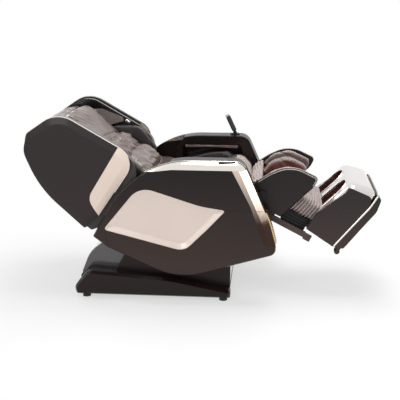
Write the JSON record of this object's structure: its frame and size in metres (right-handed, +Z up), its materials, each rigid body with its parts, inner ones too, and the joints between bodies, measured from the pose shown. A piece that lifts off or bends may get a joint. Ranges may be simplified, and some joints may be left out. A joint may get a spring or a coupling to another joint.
{
  "type": "massage chair",
  "caption": "Reclining massage chair with tilting seat, powered back with kneading rollers, forearm troughs, calf rest and sliding foot rest on a sled base.",
  "frame": {"origin": "on the floor, under the middle of the chair's bounding box", "axes": "+X towards the feet, +Y to the occupant's left, +Z up"},
  "size_m": [1.8483, 0.864, 0.9939],
  "materials": {
    "shell_brown": "satin dark brown",
    "insert_pearl": "pearl beige",
    "champagne": "champagne metallised",
    "bronze": "dark bronze metallised",
    "black_gloss": "gloss",
    "black_plastic": "matte",
    "grey_gloss": "gloss",
    "base_brown": "satin dark brown",
    "steel_black": "semi-gloss",
    "steel_bright": "brushed",
    "rubber": "matte",
    "leather_taupe": "soft grain",
    "leather_dark": "soft grain",
    "leather_red": "soft grain",
    "fabric_taupe": "woven",
    "fabric_dark": "woven",
    "silver_gloss": "silver gloss",
    "mesh": "fine perforated",
    "glass_black": "gloss"
  },
  "bodies": {
    "base": {"floor_frame": "steel_black", "base_covers": "base_brown", "base_deck": "base_brown", "rear_cover": "grey_gloss", "slide_rails": "steel_bright", "rubber_feet": "rubber", "power_box": "black_plastic", "wheel_forks": "steel_black"},
    "mains_switch": {"power_switch": "black_plastic"},
    "wheel_right": {"transport_wheel_right": "rubber"},
    "wheel_left": {"transport_wheel_left": "rubber"},
    "carriage": {"carriage_frame": "steel_black", "carriage_skirts": "base_brown", "carriage_front_cover": "champagne"},
    "seat": {"seat_frame": "steel_black", "arm_panel_right": "shell_brown", "arm_panel_left": "shell_brown", "arm_inserts": "insert_pearl", "arm_rails": "champagne", "arm_strips": "bronze", "arm_vents": "bronze", "arm_liners": "leather_dark", "forearm_pads": "leather_dark", "seat_cushion": "leather_taupe", "tablet_bracket": "black_plastic", "quick_key_tray": "black_gloss"},
    "screen": {"tablet": "glass_black"},
    "front_key": {"quick_key_front": "black_plastic"},
    "rear_key": {"quick_key_rear": "black_plastic"},
    "back": {"back_frame": "steel_black", "back_shell_right": "shell_brown", "back_shell_left": "shell_brown", "back_inserts": "insert_pearl", "back_trims": "champagne", "back_cheeks": "leather_dark", "wings": "black_gloss", "speaker_grilles": "mesh", "shoulder_pads": "leather_dark", "back_rear_cover": "shell_brown", "back_cushion": "leather_taupe", "head_pillow": "leather_taupe", "roller_track": "steel_bright"},
    "roller": {"roller_carriage": "black_plastic"},
    "kneader_right": {"kneading_arm_right": "black_plastic"},
    "kneader_left": {"kneading_arm_left": "black_plastic"},
    "leg": {"leg_frame": "steel_black", "calf_panels": "shell_brown", "calf_tray": "steel_black", "calf_cushions": "leather_red", "knee_gusset": "fabric_taupe"},
    "foot": {"foot_carrier": "black_plastic", "foot_panels": "shell_brown", "foot_cap": "silver_gloss", "foot_sole_cover": "shell_brown", "foot_trim": "champagne", "foot_liners": "leather_red", "foot_gusset": "fabric_taupe"},
    "sole_drums": {"sole_roller": "rubber"},
    "heel_wheel_right": {"heel_roller_right": "rubber"},
    "heel_wheel_left": {"heel_roller_left": "rubber"}
  },
  "joints": [
    {"name": "seat_tilt", "type": "hinge", "parent": "carriage", "child": "seat", "pos_m": [-0.0741, 0, 0.262], "axis": [0, 1, 0], "range_deg": [0, 22]},
    {"name": "carriage_slide", "type": "slide", "parent": "base", "child": "carriage", "axis": [0.993, 0, -0.1185], "range_m": [-0.142, 0.002]},
    {"name": "back_recline", "type": "hinge", "parent": "seat", "child": "back", "pos_m": [-0.5041, 0, 0.4], "axis": [0, 1, 0], "range_deg": [-20, 15]},
    {"name": "leg_lift", "type": "hinge", "parent": "seat", "child": "leg", "pos_m": [0.31674, 0, 0.57889], "axis": [0, 1, 0], "range_deg": [-15, 25]},
    {"name": "foot_extend", "type": "slide", "parent": "leg", "child": "foot", "axis": [0.887, 0, -0.4617], "range_m": [-0.111, 0.067], "deforming": ["foot_gusset"]},
    {"name": "mains_switch_rock", "type": "hinge", "parent": "base", "child": "mains_switch", "pos_m": [-0.6841, -0.028, 0.067], "axis": [0, 1, 0], "range_deg": [-8, 8]},
    {"name": "transport_spin_right", "type": "hinge", "parent": "base", "child": "wheel_right", "pos_m": [-0.6661, -0.196, 0.068], "axis": [0, 1, 0], "continuous": true},
    {"name": "transport_spin_left", "type": "hinge", "parent": "base", "child": "wheel_left", "pos_m": [-0.6661, 0.196, 0.068], "axis": [0, 1, 0], "continuous": true},
    {"name": "screen_tilt", "type": "hinge", "parent": "seat", "child": "screen", "pos_m": [0.1319, 0.366, 0.793], "axis": [-0.1736, 0.9848, 0], "range_deg": [-25, 15]},
    {"name": "front_key_press", "type": "slide", "parent": "seat", "child": "front_key", "axis": [0, 0, -1], "range_m": [0, 0.0015], "stiffness_N_per_m": 500, "springref_m": -0.001},
    {"name": "rear_key_press", "type": "slide", "parent": "seat", "child": "rear_key", "axis": [0, 0, -1], "range_m": [0, 0.0015], "stiffness_N_per_m": 500, "springref_m": -0.001},
    {"name": "roller_travel", "type": "slide", "parent": "back", "child": "roller", "axis": [-0.866, 0, 0.5], "range_m": [-0.04, 0.22]},
    {"name": "knead_right", "type": "hinge", "parent": "roller", "child": "kneader_right", "pos_m": [-0.61529, -0.062, 0.66742], "axis": [0.5, 0, 0.866], "range_deg": [-10, 10]},
    {"name": "knead_left", "type": "hinge", "parent": "roller", "child": "kneader_left", "pos_m": [-0.61529, 0.062, 0.66742], "axis": [0.5, 0, 0.866], "range_deg": [-10, 10]},
    {"name": "sole_roller_spin", "type": "hinge", "parent": "foot", "child": "sole_drums", "pos_m": [0.77464, 0, 0.46228], "axis": [0, 1, 0], "continuous": true},
    {"name": "heel_spin_right", "type": "hinge", "parent": "foot", "child": "heel_wheel_right", "pos_m": [0.70883, -0.232, 0.26655], "axis": [0, 1, 0], "continuous": true},
    {"name": "heel_spin_left", "type": "hinge", "parent": "foot", "child": "heel_wheel_left", "pos_m": [0.70883, 0.232, 0.26655], "axis": [0, 1, 0], "continuous": true}
  ],
  "couplings": [
    {"joint": "carriage_slide", "follows": "seat_tilt", "m_per_rad": -0.36461},
    {"joint": "foot_extend", "follows": "leg_lift", "m_per_rad": -0.25},
    {"joint": "knead_left", "follows": "knead_right", "ratio": -1}
  ]
}
